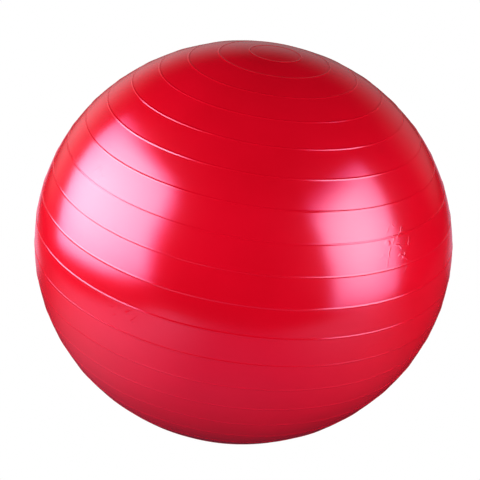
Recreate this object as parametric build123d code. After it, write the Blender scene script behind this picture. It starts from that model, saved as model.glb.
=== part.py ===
from build123d import *

from math import asin, cos, degrees, radians, sin, sqrt
import os

# Exercise ball: a hollow inflated skin with raised grip ribs, the soft seat of its air valve, and
# the push-in plug that closes the valve. Millimetres, +Z up, the ball resting on the floor Z = 0.

# Inflated ball
WIDTH = 650.0  # across the skin at its widest level
HEIGHT = 621.0  # less than the width, because the ball sags under its own weight
CONTACT_RADIUS = 30.0  # flat patch of skin that lies on the floor
WALL = 0.9

# Grip ribs: rings about one axis, evenly spaced in latitude on both sides of a plain equator
RIB_COUNT = 22
RIB_PITCH = 7.93  # degrees of latitude from one rib to the next
RIB_WIDTH = 2.6
RIB_HEIGHT = 0.7
RIB_AXIS_LEAN = 8.4  # degrees from the vertical towards +X

# Valve seat: flange bonded inside the skin, collar up through it, tube into the ball
SKIN_HOLE_RADIUS = 11.0
FLANGE_RADIUS = 17.0
FLANGE_DEPTH = 3.6  # from the outer skin to the inner face of the flange
TUBE_RADIUS = 7.4
TUBE_END_RADIUS = 6.4
TUBE_DEPTH = 28.0
BORE_RADIUS = 4.4
BORE_MOUTH_CHAMFER = 0.5
COLLAR_SINK = 0.3  # the collar face lies just under the skin
RECESS_RADIUS = 9.4
RECESS_DEPTH = 1.9

# Valve plug: thin head in the recess, barbed stem in the bore
RUNNING_GAP = 0.05
HEAD_RADIUS = 9.0
HEAD_THICKNESS = 1.4
HEAD_EDGE_RADIUS = 0.45
STEM_RADIUS = 3.7
STEM_TIP_RADIUS = 2.6
STEM_LENGTH = 26.0
BARB_COUNT = 3
BARB_LENGTH = 3.2
BARB_SPACING = 5.6
FIRST_BARB_DEPTH = 6.0  # from the underside of the head

RADIUS = WIDTH / 2
# The sagged ball is a spheroid, shorter along its rib axis, that is cut flat at the floor.
LEAN = radians(RIB_AXIS_LEAN)
FLOOR_SHARE = sqrt(1 - (CONTACT_RADIUS / RADIUS) ** 2)
TOP_ABOVE_CENTRE = HEIGHT / (1 + FLOOR_SHARE)
CENTRE_HEIGHT = TOP_ABOVE_CENTRE * FLOOR_SHARE
POLE_RADIUS = sqrt(TOP_ABOVE_CENTRE**2 - (RADIUS * sin(LEAN)) ** 2) / cos(LEAN)

# Valve axis: out of the back of the ball, in the plain band between the two middle ribs
VALVE = Location((0, RADIUS, CENTRE_HEIGHT), (-90, 0, 0))


def skin_point(latitude, raised=0.0):
    """Point of the half profile: distance from the rib axis, then height along it."""
    angle = radians(latitude)
    return ((RADIUS + raised) * cos(angle), (POLE_RADIUS + raised) * sin(angle))


def skin_arc(start, end, raised=0.0):
    """Elliptical stretch of the half profile between two latitudes."""
    across, along = RADIUS + raised, POLE_RADIUS + raised
    return EllipticalCenterArc((0, 0), across, along, start, arc_size=end - start)


def pole_cap(start, raised=0.0):
    """Round end of the half profile, from a latitude to the upper pole, centred on the rib axis."""
    across, along = skin_point(start, raised)
    pole = POLE_RADIUS + raised
    drop = pole - along
    cap_radius = (across**2 + drop**2) / (2 * drop)
    half_angle = asin(across / cap_radius) / 2
    middle = (cap_radius * sin(half_angle), pole - cap_radius * (1 - cos(half_angle)))
    return ThreePointArc((across, along), middle, (0, pole))


def rib_latitudes():
    """Latitudes of the ribs, from the lowest to the highest."""
    middle = (RIB_COUNT - 1) / 2
    return [(index - middle) * RIB_PITCH for index in range(RIB_COUNT)]


def closed_profile(edges, cap_latitude, raised=0.0):
    """Closes a half profile with its two pole caps and the rib axis."""
    cap = pole_cap(cap_latitude, raised)
    axis = Line((0, POLE_RADIUS + raised), (0, -POLE_RADIUS - raised))
    return make_face([cap, *edges, cap.mirror(Plane.XZ), axis])


def ribbed_profile():
    """Half profile of the skin: plain bands with a rounded rib between each two."""
    half_rib = degrees(asin(RIB_WIDTH / 2 / RADIUS))
    ribs = rib_latitudes()
    edges = []
    for index, rib in enumerate(ribs):
        start, end = rib - half_rib, rib + half_rib
        edges.append(ThreePointArc(skin_point(start), skin_point(rib, RIB_HEIGHT), skin_point(end)))
        if index + 1 < RIB_COUNT:
            edges.append(skin_arc(end, ribs[index + 1] - half_rib))
    return closed_profile(edges, ribs[-1] + half_rib)


def cavity_profile():
    """Half profile of the air space, one wall thickness inside the skin."""
    cap_latitude = rib_latitudes()[-1]
    return closed_profile([skin_arc(-cap_latitude, cap_latitude, -WALL)], cap_latitude, -WALL)


def leaning_ball(profile, floor):
    """Revolves a half profile about the leaning rib axis and cuts it level above the floor."""
    # The half turn keeps the seam of the surface out of the floor cut and the valve hole.
    upright = Rot(0, 0, 180) * revolve(Plane.XZ * profile, Axis.Z, 360)
    above_floor = Pos(0, 0, floor) * Box(
        2 * WIDTH, 2 * WIDTH, 2 * HEIGHT, align=(Align.CENTER, Align.CENTER, Align.MIN)
    )
    return (Pos(0, 0, CENTRE_HEIGHT) * Rot(0, RIB_AXIS_LEAN, 0) * upright) & above_floor


def turned(points):
    """Solid of revolution about the valve axis, from (radius, height) points, outward is up."""
    outline = Polyline(*[(radius, 0, height) for radius, height in points], close=True)
    return revolve(make_face(outline), Axis.Z, 360)


def make_cavity():
    """The air space inside the skin."""
    return leaning_ball(cavity_profile(), WALL)


def make_ball_shell(cavity):
    """The hollow ribbed skin with its round valve hole."""
    hole = VALVE * Cylinder(SKIN_HOLE_RADIUS, 4 * FLANGE_DEPTH)
    return leaning_ball(ribbed_profile(), 0) - (cavity + hole)


def make_valve_seat(cavity):
    """Soft insert: collar, flange that follows the inner skin, and tapered tube with its bore."""
    recess_floor = -COLLAR_SINK - RECESS_DEPTH
    core = turned(
        [
            (BORE_RADIUS + BORE_MOUTH_CHAMFER, recess_floor),
            (RECESS_RADIUS, recess_floor),
            (RECESS_RADIUS, -COLLAR_SINK),
            (SKIN_HOLE_RADIUS, -COLLAR_SINK),
            (SKIN_HOLE_RADIUS, -FLANGE_DEPTH),
            (TUBE_RADIUS, -FLANGE_DEPTH),
            (TUBE_END_RADIUS, -TUBE_DEPTH),
            (BORE_RADIUS, -TUBE_DEPTH),
            (BORE_RADIUS, recess_floor - BORE_MOUTH_CHAMFER),
        ]
    )
    flange = turned(
        [
            (SKIN_HOLE_RADIUS - 1, 0),
            (FLANGE_RADIUS, 0),
            (FLANGE_RADIUS, -FLANGE_DEPTH + 1),
            (FLANGE_RADIUS - 1, -FLANGE_DEPTH),
            (SKIN_HOLE_RADIUS - 1, -FLANGE_DEPTH),
        ]
    )
    return VALVE * core + ((VALVE * flange) & cavity)


def barb_points(underside):
    """Outline of the barbed stem, from the head down to the tip."""
    barb_radius = BORE_RADIUS - RUNNING_GAP
    points = [(STEM_RADIUS, underside)]
    for index in range(BARB_COUNT):
        shoulder = underside - FIRST_BARB_DEPTH - index * BARB_SPACING
        points.append((STEM_RADIUS, shoulder))
        points.append((barb_radius, shoulder))
        points.append((STEM_RADIUS, shoulder - BARB_LENGTH))
    points.append((STEM_RADIUS, underside - STEM_LENGTH + BARB_LENGTH))
    points.append((STEM_TIP_RADIUS, underside - STEM_LENGTH))
    return points


def make_valve_plug():
    """Push-in plug: rounded thin head and barbed stem."""
    underside = RUNNING_GAP - COLLAR_SINK - RECESS_DEPTH
    head = Pos(0, 0, underside) * Cylinder(
        HEAD_RADIUS, HEAD_THICKNESS, align=(Align.CENTER, Align.CENTER, Align.MIN)
    )
    head = fillet(head.edges().filter_by(GeomType.CIRCLE), HEAD_EDGE_RADIUS)
    overlap = HEAD_THICKNESS / 2
    stem = turned([(0, underside + overlap), (STEM_RADIUS, underside + overlap)]
                  + barb_points(underside) + [(0, underside - STEM_LENGTH)])
    return VALVE * (head + stem)


def main():
    os.makedirs("parts", exist_ok=True)
    cavity = make_cavity()
    parts = {
        "ball_shell": make_ball_shell(cavity),
        "valve_seat": make_valve_seat(cavity),
        "valve_plug": make_valve_plug(),
    }
    for name, shape in parts.items():
        export_step(shape, f"parts/{name}.step")


main()
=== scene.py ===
"""Looks of the exercise ball: a ribbed glossy skin, its valve seat and its valve plug, in a white studio."""

import math

import bpy
import numpy as np
from mathutils import Matrix, Vector


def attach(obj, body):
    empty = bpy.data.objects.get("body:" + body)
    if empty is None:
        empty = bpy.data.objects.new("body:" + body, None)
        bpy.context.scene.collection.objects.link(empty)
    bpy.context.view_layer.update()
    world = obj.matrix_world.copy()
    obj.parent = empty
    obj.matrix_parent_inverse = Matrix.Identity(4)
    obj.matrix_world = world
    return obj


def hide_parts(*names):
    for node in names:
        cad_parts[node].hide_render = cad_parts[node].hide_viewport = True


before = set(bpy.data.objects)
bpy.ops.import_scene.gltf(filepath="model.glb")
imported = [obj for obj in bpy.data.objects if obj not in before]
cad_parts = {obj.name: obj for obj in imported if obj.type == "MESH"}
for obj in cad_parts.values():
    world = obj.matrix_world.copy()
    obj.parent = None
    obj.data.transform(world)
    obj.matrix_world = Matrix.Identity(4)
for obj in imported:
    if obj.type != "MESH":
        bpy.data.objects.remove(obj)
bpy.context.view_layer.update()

MM = 0.001

# Inflated ball, at rest on the floor Z = 0
RADIUS = 325 * MM
HEIGHT = 621 * MM
WIDEST_LEVEL = 309.84 * MM
CONTACT_RADIUS = 30 * MM
AXIS_SHARE = 0.992  # the moulded ball is slightly short along its rib axis
WALL = 0.9 * MM

# Grip ribs
RIB_COUNT = 22
RIB_PITCH = 7.93  # degrees of latitude
RIB_WIDTH = 3.6 * MM
RIB_HEIGHT = 0.45 * MM
RIB_FOOT = 0.12  # degrees of plain skin that keep each rib's slope off its band
RIB_LEAN = math.radians(8.4)
RIB_ROWS = 8
BAND_ROWS = 6
COLUMNS = 240

# Slow waves that any inflated skin has
WAVE_COUNT = 14
WAVE_SEED = 7
WAVE_HEIGHT = 0.17 * MM
WAVE_LENGTHS = (70 * MM, 170 * MM)

# Packing creases: groups of fine folds at a few places on the front of the ball
CREASE_SCALE = 58.0
CREASE_STRETCH = (3.0, 1.0, 0.8)  # the creases run long one way
CREASE_TURN = -0.6  # radians about Y: that way slants up towards +X
CREASE_SOFTNESS = 0.05
CREASE_BREAKS = 60.0  # scale of the noise that breaks the creases into open strokes
CREASE_BREAK_LEVELS = (0.4, 0.52)
CREASE_HEIGHT = 0.5 * MM
CREASE_CORE = 0.35  # share of a patch's reach that has its full strength
CREASED_PATCHES = [  # degrees from the front towards +X, height, reach and strength
    (43, 410 * MM, 44 * MM, 0.6),
    (-51, 490 * MM, 30 * MM, 0.3),
    (-30, 335 * MM, 30 * MM, 0.45),
    (33, 270 * MM, 28 * MM, 0.4),
]

# Valve, out of the back of the ball
VALVE_HEIGHT = WIDEST_LEVEL
VALVE_LONGITUDE = 90.0
HOLE_RADIUS = 11 * MM
HOLE_SIDES = 96
HOLE_STEPS = 12  # repeats that bring the hole's points onto its circle
HOLE_BLOCK = 2  # grid cells that the hole's patch takes on each side of the valve

# Valve seat, in mm: radii, and heights along the valve's axis, outward from the skin
COLLAR_RADIUS = 10.95
COLLAR_FACE = -0.3
RECESS_RADIUS = 9.4
RECESS_FLOOR = -2.2
BORE_RADIUS = 4.4
BORE_CHAMFER = 0.5
FLANGE_RADIUS = 17.0
FLANGE_TOP = -1.5
FLANGE_FOOT = -3.6
TUBE_RADIUS = 7.4
TUBE_END_RADIUS = 6.4
TUBE_END = -28.0

# Valve plug, in mm, placed the same way
HEAD_RADIUS = 9.0
HEAD_FACE = -0.95
HEAD_UNDERSIDE = -2.15
HEAD_RIM_START = 6.6
HEAD_RIM_RADII = (7.3, 8.2)
HEAD_RIM_TOP = -0.62
STEM_RADIUS = 3.7
STEM_TIP_RADIUS = 2.6
STEM_TIP = -28.15
STEM_TAPER = 3.2
BARB_COUNT = 3
BARB_RADIUS = 4.35
BARB_LENGTH = 3.2
BARB_SPACING = 5.6
FIRST_BARB = -8.15

# Colours of the materials: each wanders between a darker and a lighter tone
SKIN_TONES = ((0.66, 0.0016, 0.012), (0.72, 0.0020, 0.015))
SEAT_TONES = ((0.46, 0.003, 0.012), (0.54, 0.004, 0.016))
PLUG_TONES = ((0.80, 0.79, 0.76), (0.86, 0.85, 0.83))
NOISE_MIDDLE = (0.3, 0.7)  # nearly all of a noise's values lie between these

# Camera
BALL_CENTRE = Vector((0, 0, HEIGHT / 2))
CAMERA_ELEVATION = math.radians(26.5)
CAMERA_DISTANCE = 5.5 * RADIUS
LENS = 84.8
SHIFT = (-0.0071, 0.0013)

# Floor: where it is lit, as the ball sees it, painted into the floor's glow, with a painted shadow under the
# ball
FLOOR_RADIUS = 1.8
# painted shadow: the floor's glow is darker near the ball
FLOOR_SHADOW = (0.15, 0.45)
FLOOR_SHADOW_SHARE = 0.3
FLOOR_SIDE_REACH = (0.12, 0.72)  # the light from both sides falls on the floor beside the ball
FLOOR_SIDE_END = (1.0, 1.35)
FLOOR_RIGHT_FADE = (-0.4, 0.6)
FLOOR_RIGHT_SHARE = 0.6
FLOOR_FRONT_SLANT = -0.35  # the lit floor reaches further forward on the left
FLOOR_FRONT_END = (-1.45, -1.05)
FLOOR_BACK_SLANT = 0.2  # and further back on the left
FLOOR_BACK_FADE = (-0.55, 0.15)
FLOOR_BACK_SHARE = 0.08
FLOOR_BEHIND = (0.3, 0.6)  # the white floor behind the ball
FLOOR_BEHIND_END = (0.65, 0.95)
FLOOR_BEHIND_SHARE = 0.9
# colours of the floor's painted light: pink from the ball's red light in the middle, paler at the sides
FLOOR_MIDDLE = (0.42, 0.17, 0.33)
FLOOR_SIDE = (0.85, 0.62, 0.84)

# Backdrop, as the ball sees it
BACKDROP_LIGHT = 0.5
BACKDROP_BEHIND = (0.45, 0.9)  # how far a direction points to the back for it to see the backdrop
BACKDROP_LOW = (0.05, 0.5)  # how far up it points where the backdrop ends
BACKDROP_ABOVE_FLOOR = (-0.25, -0.05)
BACKDROP_SIDES = (-0.5, 0.5)
BACKDROP_SIDE_SHARES = (1.2, 0.55)  # brighter on the left than on the right

# Lights
HOT_SPOT_REACH = (0.05, 0.75)  # in shares of the softbox's sides
HOT_SPOT_EDGE = 0.35
SOFTBOX_EDGE = (1.0, 0.25, 0.8)  # the light is pinker towards the edges, as it is on the real ball
FILLS = [  # name, place, facing, up, size and radiance
    ("left_fill", (-2.5, 0.2, 0.5), (1, 0, 0), (0, 0, 1), (3.0, 2.4), 4.8),
    ("right_fill", (2.3, -0.2, 0.4), (-1, 0, 0), (0, 0, 1), (3.0, 1.1), 6.0),
    ("front_fill", (0, -2.6, 1.3), (0, 1, -0.35), (0, 0, 1), (3.0, 1.8), 3.15),
    ("top_fill", (-1.4, 0, 2.2), (0.55, 0, -0.83), (0, 1, 0), (2.4, 1.6), 2.2),
]


# ---------------------------------------------------------------- the skin's shape


def sagged(points):
    """Rests a round ball centred on the origin on the floor, and flattens it there."""
    x, y, z = points.T
    round_top = RADIUS * math.hypot(AXIS_SHARE * math.cos(RIB_LEAN), math.sin(RIB_LEAN))
    lower = WIDEST_LEVEL / math.sqrt(1 - (CONTACT_RADIUS / RADIUS) ** 2)
    upper = HEIGHT - WIDEST_LEVEL
    height = WIDEST_LEVEL + np.where(z > 0, upper, lower) * z / round_top
    return np.stack([x, y, np.maximum(height, 0.0)], axis=1)


def wave(directions):
    """Height of the slow waves of the skin, for unit directions."""
    random = np.random.default_rng(WAVE_SEED)
    height = np.zeros(len(directions))
    for _ in range(WAVE_COUNT):
        along = random.normal(size=3)
        along /= np.linalg.norm(along)
        length = random.uniform(*WAVE_LENGTHS)
        phase = random.uniform(0, 2 * math.pi)
        height += np.sin(directions @ along * 2 * math.pi * RADIUS / length + phase)
    return height * WAVE_HEIGHT / math.sqrt(WAVE_COUNT / 2)


def skin(latitudes, longitudes, lifts):
    """Points of the skin at latitudes and longitudes about the leaning rib axis, in degrees."""
    latitude, longitude = np.radians(latitudes), np.radians(longitudes)
    directions = np.stack(
        [
            np.cos(latitude) * np.cos(longitude),
            np.cos(latitude) * np.sin(longitude),
            np.sin(latitude) * np.ones_like(longitude),
        ],
        axis=1,
    )
    distance = RADIUS + lifts + wave(directions)
    x, y, z = (directions * distance[:, None]).T
    z = z * AXIS_SHARE
    leaning_x = x * math.cos(RIB_LEAN) + z * math.sin(RIB_LEAN)
    leaning_z = z * math.cos(RIB_LEAN) - x * math.sin(RIB_LEAN)
    return sagged(np.stack([leaning_x, y, leaning_z], axis=1))


def skin_rows(band_rows, rib_rows):
    """Latitude and lift of every row of the skin, from the lowest to the highest, without the poles."""
    half_rib = math.degrees(RIB_WIDTH / 2 / RADIUS)
    middle = (RIB_COUNT - 1) / 2
    ribs = [(index - middle) * RIB_PITCH for index in range(RIB_COUNT)]
    edges = [-90.0] + ribs + [90.0]
    rows = []
    for index in range(len(edges) - 1):
        start = edges[index] + (half_rib if index > 0 else 0)
        end = edges[index + 1] - (half_rib if index < RIB_COUNT else 0)
        steps = np.linspace(start + RIB_FOOT, end - RIB_FOOT, band_rows - 1)
        rows += [(latitude, 0.0) for latitude in (start, *steps, end)]
        for step in range(1, rib_rows if index < RIB_COUNT else 0):
            across = 2 * step / rib_rows - 1
            lift = RIB_HEIGHT * (1 + math.cos(math.pi * across)) / 2
            rows.append((edges[index + 1] + across * half_rib, lift))
    return rows[1:-1]


def hole_ring(lift):
    """Ring of skin points around the valve hole, in order of angle, starting at +X."""
    angles = np.arange(HOLE_SIDES) * 2 * math.pi / HOLE_SIDES
    target_x = HOLE_RADIUS * np.cos(angles)
    target_z = VALVE_HEIGHT + HOLE_RADIUS * np.sin(angles)
    latitudes = np.zeros(HOLE_SIDES)
    longitudes = np.full(HOLE_SIDES, VALVE_LONGITUDE)
    for _ in range(HOLE_STEPS):
        points = skin(latitudes, longitudes, np.full(HOLE_SIDES, lift))
        longitudes += np.degrees((points[:, 0] - target_x) / RADIUS)
        latitudes += np.degrees((target_z - points[:, 2]) / RADIUS)
    return skin(latitudes, longitudes, np.full(HOLE_SIDES, lift))


def stitched(outer, outer_angles, inner, inner_angles):
    """Triangles between two closed loops of vertex numbers that run the same way round.

    The angles rise along each loop and end with that of its first vertex, a turn later.
    """
    faces = []
    i = j = 0
    while i < len(outer) or j < len(inner):
        next_outer = outer_angles[i + 1] if i < len(outer) else math.inf
        next_inner = inner_angles[j + 1] if j < len(inner) else math.inf
        here, there = outer[i % len(outer)], inner[j % len(inner)]
        if next_outer <= next_inner:
            i += 1
            faces.append((outer[i % len(outer)], here, there))
        else:
            j += 1
            faces.append((here, there, inner[j % len(inner)]))
    return faces


def skin_layer(rows, columns, inset):
    """Vertices, faces and hole loop of one face of the skin, with a round hole at the valve."""
    longitudes = np.arange(columns) * 360.0 / columns
    points = [skin(np.array([-90.0]), np.array([0.0]), np.array([-inset]))]
    for latitude, lift in rows:
        points.append(skin(np.full(columns, latitude), longitudes, np.full(columns, lift - inset)))
    points.append(skin(np.array([90.0]), np.array([0.0]), np.array([-inset])))
    points = np.concatenate(points)
    last = len(points) - 1

    def vertex(row, column):
        return 1 + row * columns + column % columns

    middle_row = min(range(len(rows)), key=lambda row: abs(rows[row][0]))
    middle_column = round(VALVE_LONGITUDE / 360.0 * columns)
    low_row, high_row = middle_row - HOLE_BLOCK, middle_row + HOLE_BLOCK
    low_column, high_column = middle_column - HOLE_BLOCK, middle_column + HOLE_BLOCK
    faces = []
    for column in range(columns):
        faces.append((0, vertex(0, column + 1), vertex(0, column)))
        faces.append((vertex(len(rows) - 1, column), vertex(len(rows) - 1, column + 1), last))
    for row in range(len(rows) - 1):
        for column in range(columns):
            if low_row <= row < high_row and low_column <= column < high_column:
                continue
            low = (vertex(row, column), vertex(row, column + 1))
            faces.append((*low, vertex(row + 1, column + 1), vertex(row + 1, column)))

    # The block's border runs from +X over +Z, starting in the middle of its +X side
    size = 2 * HOLE_BLOCK
    border = [(middle_row + step, low_column) for step in range(HOLE_BLOCK)]
    border += [(high_row, low_column + step) for step in range(size)]
    border += [(high_row - step, high_column) for step in range(size)]
    border += [(low_row, high_column - step) for step in range(size)]
    border += [(low_row + step, low_column) for step in range(HOLE_BLOCK)]
    border = [vertex(row, column) for row, column in border]
    ring = hole_ring(-inset)
    loop = list(range(len(points), len(points) + HOLE_SIDES))

    def turns(loop_points):
        """Angles about the valve of a closed loop's points, with the first one again a turn later."""
        angles = np.arctan2(loop_points[:, 2] - VALVE_HEIGHT, loop_points[:, 0])
        angles = np.unwrap(np.append(angles, angles[0]))
        return angles

    faces += stitched(border, turns(points[border]), loop, turns(ring))
    return np.concatenate([points, ring]), faces, loop


def make_skin():
    """The whole hollow skin: ribbed outside, plain inside, joined at the valve hole."""
    outside, outside_faces, outside_loop = skin_layer(skin_rows(BAND_ROWS, RIB_ROWS), COLUMNS, 0.0)
    inside, inside_faces, inside_loop = skin_layer(skin_rows(2, 0), COLUMNS // 2, WALL)
    offset = len(outside)
    faces = list(outside_faces)
    faces += [tuple(offset + number for number in reversed(face)) for face in inside_faces]
    for side in range(HOLE_SIDES):
        after = (side + 1) % HOLE_SIDES
        outer_edge = (outside_loop[after], outside_loop[side])
        faces.append((offset + inside_loop[side], offset + inside_loop[after], *outer_edge))
    return new_piece("skin", np.concatenate([outside, inside]), faces)


# ---------------------------------------------------------------- helpers for pieces


def new_piece(name, points, faces, sharp_degrees=40):
    """Smooth-shaded object whose edges stay sharp from an angle on."""
    mesh = bpy.data.meshes.new(name)
    mesh.from_pydata([tuple(point) for point in points], [], faces)
    mesh.validate()
    mesh.shade_smooth()
    mesh.set_sharp_from_angle(angle=math.radians(sharp_degrees))
    piece = bpy.data.objects.new(name, mesh)
    bpy.context.scene.collection.objects.link(piece)
    return piece


def rounded(corners, steps=5):
    """Profile points with each (radius, height, rounding) corner turned into a short arc."""
    points = []
    count = len(corners)
    for index, (x, z, rounding) in enumerate(corners):
        here = np.array([x, z])
        if rounding == 0:
            points.append(here)
            continue
        before = np.array(corners[index - 1][:2]) - here
        after = np.array(corners[(index + 1) % count][:2]) - here
        before /= np.linalg.norm(before)
        after /= np.linalg.norm(after)
        for step in range(steps + 1):
            share = step / steps
            start, end = here + before * rounding, here + after * rounding
            points.append((1 - share) ** 2 * start + 2 * share * (1 - share) * here + share**2 * end)
    return points


def turned(name, corners, sides=96):
    """Solid of revolution about the valve axis, from (radius, height, rounding) corners in mm."""
    profile = rounded(corners)
    points, rings = [], []
    for radius, height in profile:
        ring = []
        on_axis = radius < 1e-9
        for side in range(1 if on_axis else sides):
            angle = side * 2 * math.pi / sides
            x, z = radius * math.cos(angle), radius * math.sin(angle)
            ring.append(len(points))
            points.append((x * MM, RADIUS + height * MM, VALVE_HEIGHT + z * MM))
        rings.append(ring * sides if on_axis else ring)
    faces = []
    for index, ring in enumerate(rings):
        following = rings[(index + 1) % len(rings)]
        for side in range(sides):
            after = (side + 1) % sides
            face = [ring[side], ring[after], following[after], following[side]]
            face = [number for place, number in enumerate(face) if number not in face[:place]]
            if len(face) > 2:
                faces.append(tuple(face))
    return new_piece(name, points, faces, sharp_degrees=50)


def make_valve_seat():
    """Soft insert: collar round the recess, flange under the skin, tapered tube with the bore."""
    return turned(
        "seat",
        [
            (BORE_RADIUS, RECESS_FLOOR - BORE_CHAMFER, 0),
            (BORE_RADIUS + BORE_CHAMFER, RECESS_FLOOR, 0.1),
            (RECESS_RADIUS, RECESS_FLOOR, 0.3),
            (RECESS_RADIUS, COLLAR_FACE, 0.25),
            (COLLAR_RADIUS, COLLAR_FACE, 0.25),
            (COLLAR_RADIUS, FLANGE_TOP, 0),
            (FLANGE_RADIUS, FLANGE_TOP, 0.3),
            (FLANGE_RADIUS, FLANGE_FOOT, 0.6),
            (TUBE_RADIUS, FLANGE_FOOT, 0.3),
            (TUBE_END_RADIUS, TUBE_END, 0.4),
            (BORE_RADIUS, TUBE_END, 0.3),
        ],
    )


def make_valve_plug():
    """Push-in plug: thin head with a raised rim, and a stem with barbs."""
    rim_start, rim_end = HEAD_RIM_RADII
    head = [
        (0, HEAD_FACE, 0),
        (HEAD_RIM_START, HEAD_FACE, 0.3),
        (rim_start, HEAD_RIM_TOP, 0.25),
        (rim_end, HEAD_RIM_TOP, 0.25),
        (HEAD_RADIUS, HEAD_FACE, 0.25),
        (HEAD_RADIUS, HEAD_UNDERSIDE, 0.25),
    ]
    stem = [(STEM_RADIUS, HEAD_UNDERSIDE, 0.2)]
    for barb in range(BARB_COUNT):
        shoulder = FIRST_BARB - BARB_SPACING * barb
        stem.append((STEM_RADIUS, shoulder, 0.1))
        stem.append((BARB_RADIUS, shoulder, 0.15))
        stem.append((STEM_RADIUS, shoulder - BARB_LENGTH, 0.1))
    tip = [(STEM_RADIUS, STEM_TIP + STEM_TAPER, 0.5), (STEM_TIP_RADIUS, STEM_TIP, 0.8), (0, STEM_TIP, 0)]
    return turned("plug", head + stem + tip)


# ---------------------------------------------------------------- materials


def new_material(name):
    """Empty material with one principled shader."""
    material = bpy.data.materials.new(name)
    material.use_nodes = True
    tree = material.node_tree
    tree.nodes.clear()
    output = tree.nodes.new("ShaderNodeOutputMaterial")
    shader = tree.nodes.new("ShaderNodeBsdfPrincipled")
    tree.links.new(shader.outputs["BSDF"], output.inputs["Surface"])
    return material, tree, shader


def object_place(tree):
    """Place in the object's own coordinates."""
    return tree.nodes.new("ShaderNodeTexCoord").outputs["Object"]


def noise(tree, scale, detail=2.0, roughness=0.5, place=None):
    """Noise of the object's own coordinates, or of another place."""
    node = tree.nodes.new("ShaderNodeTexNoise")
    node.inputs["Scale"].default_value = scale
    node.inputs["Detail"].default_value = detail
    node.inputs["Roughness"].default_value = roughness
    tree.links.new(place or object_place(tree), node.inputs["Vector"])
    return node.outputs["Fac"]


def spread(tree, value, low, high):
    """Maps the middle of a noise to a range of numbers."""
    node = tree.nodes.new("ShaderNodeMapRange")
    node.inputs["From Min"].default_value, node.inputs["From Max"].default_value = NOISE_MIDDLE
    node.inputs["To Min"].default_value = low
    node.inputs["To Max"].default_value = high
    tree.links.new(value, node.inputs["Value"])
    return node.outputs["Result"]


def blended(tree, share, first, second):
    """Colour between two colours."""
    node = tree.nodes.new("ShaderNodeMix")
    node.data_type = "RGBA"
    node.inputs[6].default_value = (*first, 1)
    node.inputs[7].default_value = (*second, 1)
    tree.links.new(share, node.inputs["Factor"])
    return node.outputs[2]


def bumped(tree, shader, heights, distance):
    """Adds fine surface relief to a shader."""
    node = tree.nodes.new("ShaderNodeBump")
    node.inputs["Strength"].default_value = 1.0
    node.inputs["Distance"].default_value = distance
    tree.links.new(heights, node.inputs["Height"])
    tree.links.new(node.outputs["Normal"], shader.inputs["Normal"])


def mapped(tree, value, low, high, to_low, to_high):
    """Smooth step from one value to another between two limits."""
    node = tree.nodes.new("ShaderNodeMapRange")
    node.interpolation_type = "SMOOTHSTEP"
    node.inputs["From Min"].default_value = low
    node.inputs["From Max"].default_value = high
    node.inputs["To Min"].default_value = to_low
    node.inputs["To Max"].default_value = to_high
    tree.links.new(value, node.inputs["Value"])
    return node.outputs["Result"]


def slanted(tree, value, other, slant):
    """A value with a share of another one added to it."""
    node = tree.nodes.new("ShaderNodeMath")
    node.operation = "MULTIPLY_ADD"
    tree.links.new(other, node.inputs[0])
    node.inputs[1].default_value = slant
    tree.links.new(value, node.inputs[2])
    return node.outputs["Value"]


def magnitude(tree, value):
    """A value without its sign."""
    node = tree.nodes.new("ShaderNodeMath")
    node.operation = "ABSOLUTE"
    tree.links.new(value, node.inputs[0])
    return node.outputs["Value"]


def combined(tree, operation, values):
    """One value from several, taken together two at a time by a math operation."""
    result = values[0]
    for value in values[1:]:
        node = tree.nodes.new("ShaderNodeMath")
        node.operation = operation
        tree.links.new(result, node.inputs[0])
        tree.links.new(value, node.inputs[1])
        result = node.outputs["Value"]
    return result


def product(tree, *values):
    """All values multiplied together."""
    return combined(tree, "MULTIPLY", values)


def highest(tree, *values):
    """The highest of several values."""
    return combined(tree, "MAXIMUM", values)


def front_of_ball(bearing, height):
    """Place on the round of the ball, from degrees away from the front towards +X and a height."""
    half_height = HEIGHT - WIDEST_LEVEL if height > WIDEST_LEVEL else WIDEST_LEVEL
    away = RADIUS * math.sqrt(1 - ((height - WIDEST_LEVEL) / half_height) ** 2)
    return (away * math.sin(math.radians(bearing)), -away * math.cos(math.radians(bearing)), height)


def near(tree, point, bearing, height, reach, strength):
    """Strength at a place on the ball, falling to nothing at its reach."""
    away = tree.nodes.new("ShaderNodeVectorMath")
    away.operation = "DISTANCE"
    away.inputs[1].default_value = front_of_ball(bearing, height)
    tree.links.new(point, away.inputs[0])
    return mapped(tree, away.outputs["Value"], reach * CREASE_CORE, reach, strength, 0)


def creases(tree):
    """Faint groups of long packing creases at a few places, as heights from 0 to 1."""
    place = object_place(tree)
    stretch = tree.nodes.new("ShaderNodeMapping")
    stretch.vector_type = "TEXTURE"
    stretch.inputs["Rotation"].default_value = (0, CREASE_TURN, 0)
    stretch.inputs["Scale"].default_value = CREASE_STRETCH
    tree.links.new(place, stretch.inputs["Vector"])
    # A crease runs wherever the noise crosses its middle level.
    level = noise(tree, CREASE_SCALE, 1.0, place=stretch.outputs["Vector"])
    patches = [near(tree, place, *patch) for patch in CREASED_PATCHES]
    return product(
        tree,
        mapped(tree, level, 0.5 - CREASE_SOFTNESS, 0.5, 0, 1),
        mapped(tree, level, 0.5, 0.5 + CREASE_SOFTNESS, 1, 0),
        mapped(tree, noise(tree, CREASE_BREAKS, 1.0), *CREASE_BREAK_LEVELS, 0, 1),
        highest(tree, *patches),
    )


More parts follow.
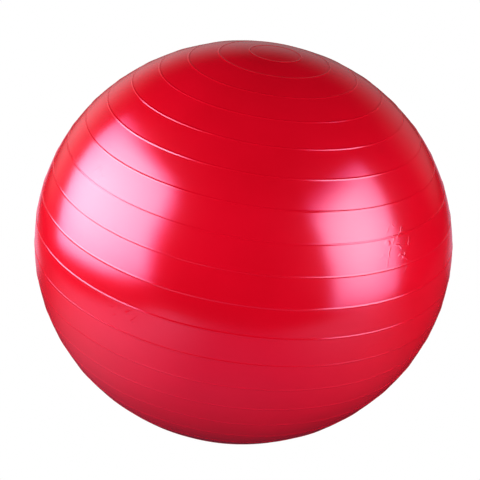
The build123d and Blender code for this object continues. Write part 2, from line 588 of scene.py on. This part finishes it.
def skin_material():
    """Glossy red PVC with a faint pearly haze."""
    material, tree, shader = new_material("red_pvc")
    tone = spread(tree, noise(tree, 9.0, 4.0), 0.0, 1.0)
    colour = blended(tree, tone, *SKIN_TONES)
    tree.links.new(colour, shader.inputs["Base Color"])
    dust = spread(tree, noise(tree, 38.0, 5.0, 0.6), 0.165, 0.19)
    tree.links.new(dust, shader.inputs["Roughness"])
    shader.inputs["Specular IOR Level"].default_value = 1.0
    shader.inputs["Specular Tint"].default_value = (1.0, 0.62, 0.92, 1)
    grain = tree.nodes.new("ShaderNodeBump")
    grain.inputs["Distance"].default_value = 0.02 * MM
    tree.links.new(noise(tree, 260.0, 2.0), grain.inputs["Height"])
    folds = tree.nodes.new("ShaderNodeBump")
    folds.inputs["Distance"].default_value = CREASE_HEIGHT
    tree.links.new(creases(tree), folds.inputs["Height"])
    tree.links.new(grain.outputs["Normal"], folds.inputs["Normal"])
    tree.links.new(folds.outputs["Normal"], shader.inputs["Normal"])
    return material


def seat_material():
    """Satin red PVC of the valve's insert."""
    material, tree, shader = new_material("red_insert")
    tone = spread(tree, noise(tree, 120.0, 3.0), 0.0, 1.0)
    colour = blended(tree, tone, *SEAT_TONES)
    tree.links.new(colour, shader.inputs["Base Color"])
    tree.links.new(spread(tree, noise(tree, 300.0), 0.36, 0.46), shader.inputs["Roughness"])
    bumped(tree, shader, noise(tree, 900.0), 0.03 * MM)
    return material


def plug_material():
    """Milky white polyethylene."""
    material, tree, shader = new_material("white_polyethylene")
    tone = spread(tree, noise(tree, 150.0, 3.0), 0.0, 1.0)
    colour = blended(tree, tone, *PLUG_TONES)
    tree.links.new(colour, shader.inputs["Base Color"])
    tree.links.new(spread(tree, noise(tree, 400.0), 0.32, 0.42), shader.inputs["Roughness"])
    shader.inputs["Subsurface Weight"].default_value = 0.15
    shader.inputs["Subsurface Radius"].default_value = (0.004, 0.004, 0.0035)
    bumped(tree, shader, noise(tree, 1100.0), 0.015 * MM)
    return material


def white_to_camera(tree, kind, lit, output):
    """Plain white to the camera, and a lit shader to every other ray."""
    seen = tree.nodes.new(kind)
    seen.inputs["Color"].default_value = (1, 1, 1, 1)
    seen.inputs["Strength"].default_value = 1.0
    rays = tree.nodes.new("ShaderNodeLightPath")
    mix = tree.nodes.new("ShaderNodeMixShader")
    tree.links.new(rays.outputs["Is Camera Ray"], mix.inputs["Fac"])
    tree.links.new(lit.outputs[0], mix.inputs[1])
    tree.links.new(seen.outputs[0], mix.inputs[2])
    tree.links.new(mix.outputs["Shader"], output.inputs["Surface"])


def floor_material():
    """White paper, even to the eye; to every other ray it glows with painted light: pink from the ball's own
    light, brighter at its sides, darker in a painted shadow under the ball.
    """
    material = bpy.data.materials.new("white_paper")
    material.use_nodes = True
    tree = material.node_tree
    tree.nodes.clear()
    output = tree.nodes.new("ShaderNodeOutputMaterial")
    place = object_place(tree)
    length = tree.nodes.new("ShaderNodeVectorMath")
    length.operation = "LENGTH"
    tree.links.new(place, length.inputs[0])
    distance = length.outputs["Value"]
    split = tree.nodes.new("ShaderNodeSeparateXYZ")
    tree.links.new(place, split.inputs["Vector"])
    across, along = split.outputs["X"], split.outputs["Y"]
    sideways = magnitude(tree, across)
    # The floor's glow is painted light for the ball's reflections: lit patches beside it, a painted pink
    # bounce and a painted shadow under the ball
    lit = tree.nodes.new("ShaderNodeEmission")
    tint = blended(tree, mapped(tree, sideways, *FLOOR_SIDE_REACH, 0, 1), FLOOR_MIDDLE, FLOOR_SIDE)
    tree.links.new(tint, lit.inputs["Color"])
    back_line = slanted(tree, along, across, FLOOR_BACK_SLANT)
    front_line = slanted(tree, along, across, FLOOR_FRONT_SLANT)
    back = mapped(tree, back_line, *FLOOR_BACK_FADE, 1, FLOOR_BACK_SHARE)
    behind = product(
        tree,
        mapped(tree, along, *FLOOR_BEHIND, 0, FLOOR_BEHIND_SHARE),
        mapped(tree, sideways, *FLOOR_BEHIND_END, 1, 0),
    )
    strength = product(
        tree,
        highest(tree, back, behind),
        mapped(tree, front_line, *FLOOR_FRONT_END, 0, 1),
        mapped(tree, sideways, *FLOOR_SIDE_END, 1, 0),
        mapped(tree, across, *FLOOR_RIGHT_FADE, 1, FLOOR_RIGHT_SHARE),
        mapped(tree, distance, *FLOOR_SHADOW, FLOOR_SHADOW_SHARE, 1),
    )
    tree.links.new(strength, lit.inputs["Strength"])
    white_to_camera(tree, "ShaderNodeEmission", lit, output)
    return material


# ---------------------------------------------------------------- studio


def make_floor():
    """Round sheet of paper under the ball."""
    sides = 128
    angles = [side * 2 * math.pi / sides for side in range(sides)]
    points = [(FLOOR_RADIUS * math.cos(angle), FLOOR_RADIUS * math.sin(angle), 0.0) for angle in angles]
    floor = new_piece("floor", points, [tuple(range(sides))])
    floor.data.materials.append(floor_material())


def area_light(name, place, facing, up, size, radiance, shines):
    """Rectangular light. One that shines shows in gloss only, one that doesn't lights matt colour only."""
    light = bpy.data.lights.new(name, "AREA")
    light.shape = "RECTANGLE"
    light.size, light.size_y = size
    light.energy = radiance * math.pi * size[0] * size[1]
    lamp = bpy.data.objects.new(name, light)
    back = -Vector(facing).normalized()
    side = Vector(up).cross(back).normalized()
    turn = Matrix((side, back.cross(side), back)).transposed()
    lamp.matrix_world = Matrix.Translation(place) @ turn.to_4x4()
    lamp.visible_camera = False
    lamp.visible_glossy = shines
    lamp.visible_diffuse = not shines
    light.cycles.use_multiple_importance_sampling = shines
    bpy.context.scene.collection.objects.link(lamp)
    return light


def softbox(name, place, facing, up, size, radiance, fades, hot_spot, top_drop):
    """Softbox seen in the gloss, with a hot spot, soft edges and a top edge that drops to one side."""
    light = area_light(name, place, facing, up, size, radiance, shines=True)
    light.use_nodes = True
    tree = light.node_tree
    tree.nodes.clear()
    output = tree.nodes.new("ShaderNodeOutputLight")
    emission = tree.nodes.new("ShaderNodeEmission")
    place_on_box = tree.nodes.new("ShaderNodeNewGeometry")
    split = tree.nodes.new("ShaderNodeSeparateXYZ")
    tree.links.new(place_on_box.outputs["Parametric"], split.inputs["Vector"])
    from_hot_spot = tree.nodes.new("ShaderNodeVectorMath")
    from_hot_spot.operation = "DISTANCE"
    from_hot_spot.inputs[1].default_value = (*hot_spot, 0)
    tree.links.new(place_on_box.outputs["Parametric"], from_hot_spot.inputs[0])
    left, right, lower, upper = fades
    across, along = split.outputs["X"], split.outputs["Y"]
    strength = product(
        tree,
        mapped(tree, across, 0, left, 0, 1),
        mapped(tree, across, 1 - right, 1, 1, 0),
        mapped(tree, along, 0, lower, 0, 1),
        mapped(tree, slanted(tree, along, across, top_drop), 1 - upper, 1, 1, 0),
        mapped(tree, from_hot_spot.outputs["Value"], *HOT_SPOT_REACH, 1, HOT_SPOT_EDGE),
    )
    tree.links.new(blended(tree, strength, SOFTBOX_EDGE, (1, 1, 1)), emission.inputs["Color"])
    tree.links.new(strength, emission.inputs["Strength"])
    tree.links.new(emission.outputs["Emission"], output.inputs["Surface"])


def make_world():
    """White behind the ball and to the camera, dark in front, as in a studio with a white backdrop."""
    world = bpy.data.worlds.new("studio")
    bpy.context.scene.world = world
    world.use_nodes = True
    tree = world.node_tree
    tree.nodes.clear()
    output = tree.nodes.new("ShaderNodeOutputWorld")
    place = tree.nodes.new("ShaderNodeTexCoord")
    split = tree.nodes.new("ShaderNodeSeparateXYZ")
    tree.links.new(place.outputs["Generated"], split.inputs["Vector"])
    backdrop = product(
        tree,
        mapped(tree, split.outputs["Y"], *BACKDROP_BEHIND, 0, 1),
        mapped(tree, split.outputs["Z"], *BACKDROP_LOW, BACKDROP_LIGHT, 0),
        mapped(tree, split.outputs["Z"], *BACKDROP_ABOVE_FLOOR, 0, 1),
        mapped(tree, split.outputs["X"], *BACKDROP_SIDES, *BACKDROP_SIDE_SHARES),
    )
    lit = tree.nodes.new("ShaderNodeBackground")
    tree.links.new(backdrop, lit.inputs["Strength"])
    white_to_camera(tree, "ShaderNodeBackground", lit, output)


def make_camera():
    """Camera that looks down at the ball from the front."""
    camera = bpy.data.cameras.new("camera")
    camera.sensor_width = 36.0
    camera.lens = LENS
    camera.shift_x, camera.shift_y = SHIFT
    holder = bpy.data.objects.new("camera", camera)
    back = Vector((0, -math.cos(CAMERA_ELEVATION), math.sin(CAMERA_ELEVATION)))
    holder.location = BALL_CENTRE + back * CAMERA_DISTANCE
    holder.rotation_euler = (math.pi / 2 - CAMERA_ELEVATION, 0, 0)
    bpy.context.scene.collection.objects.link(holder)
    bpy.context.scene.camera = holder


def dress(piece, body, node, material):
    """Gives a piece its material and the body it rides on, and hides the CAD node that it stands for."""
    piece.data.materials.append(material)
    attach(piece, body)
    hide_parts(node)


dress(make_skin(), "ball", "ball_shell", skin_material())
dress(make_valve_seat(), "ball", "valve_seat", seat_material())
dress(make_valve_plug(), "plug", "valve_plug", plug_material())

make_floor()
softbox(
    "softbox_left",
    place=(-1.08, -0.022, 0.927),
    facing=(0.86, 0.33, -0.39),
    up=(0.28, 0.32, 0.90),
    size=(1.90, 1.62),
    radiance=10.3,
    fades=(0.1, 0.14, 0.09, 0.14),
    hot_spot=(0.6, 0.43),
    top_drop=0.3,
)
softbox(
    "softbox_right",
    place=(1.034, -0.607, 0.626),
    facing=(-0.82, 0.42, -0.38),
    up=(-0.30, 0.25, 0.92),
    size=(1.08, 1.46),
    radiance=8.0,
    fades=(0.16, 0.13, 0.08, 0.3),
    hot_spot=(0.46, 0.58),
    top_drop=-0.12,
)
for name, place, facing, up, size, radiance in FILLS:
    area_light(name, place, facing, up, size, radiance, shines=False)
make_world()
make_camera()
bpy.context.scene.view_settings.view_transform = "Standard"
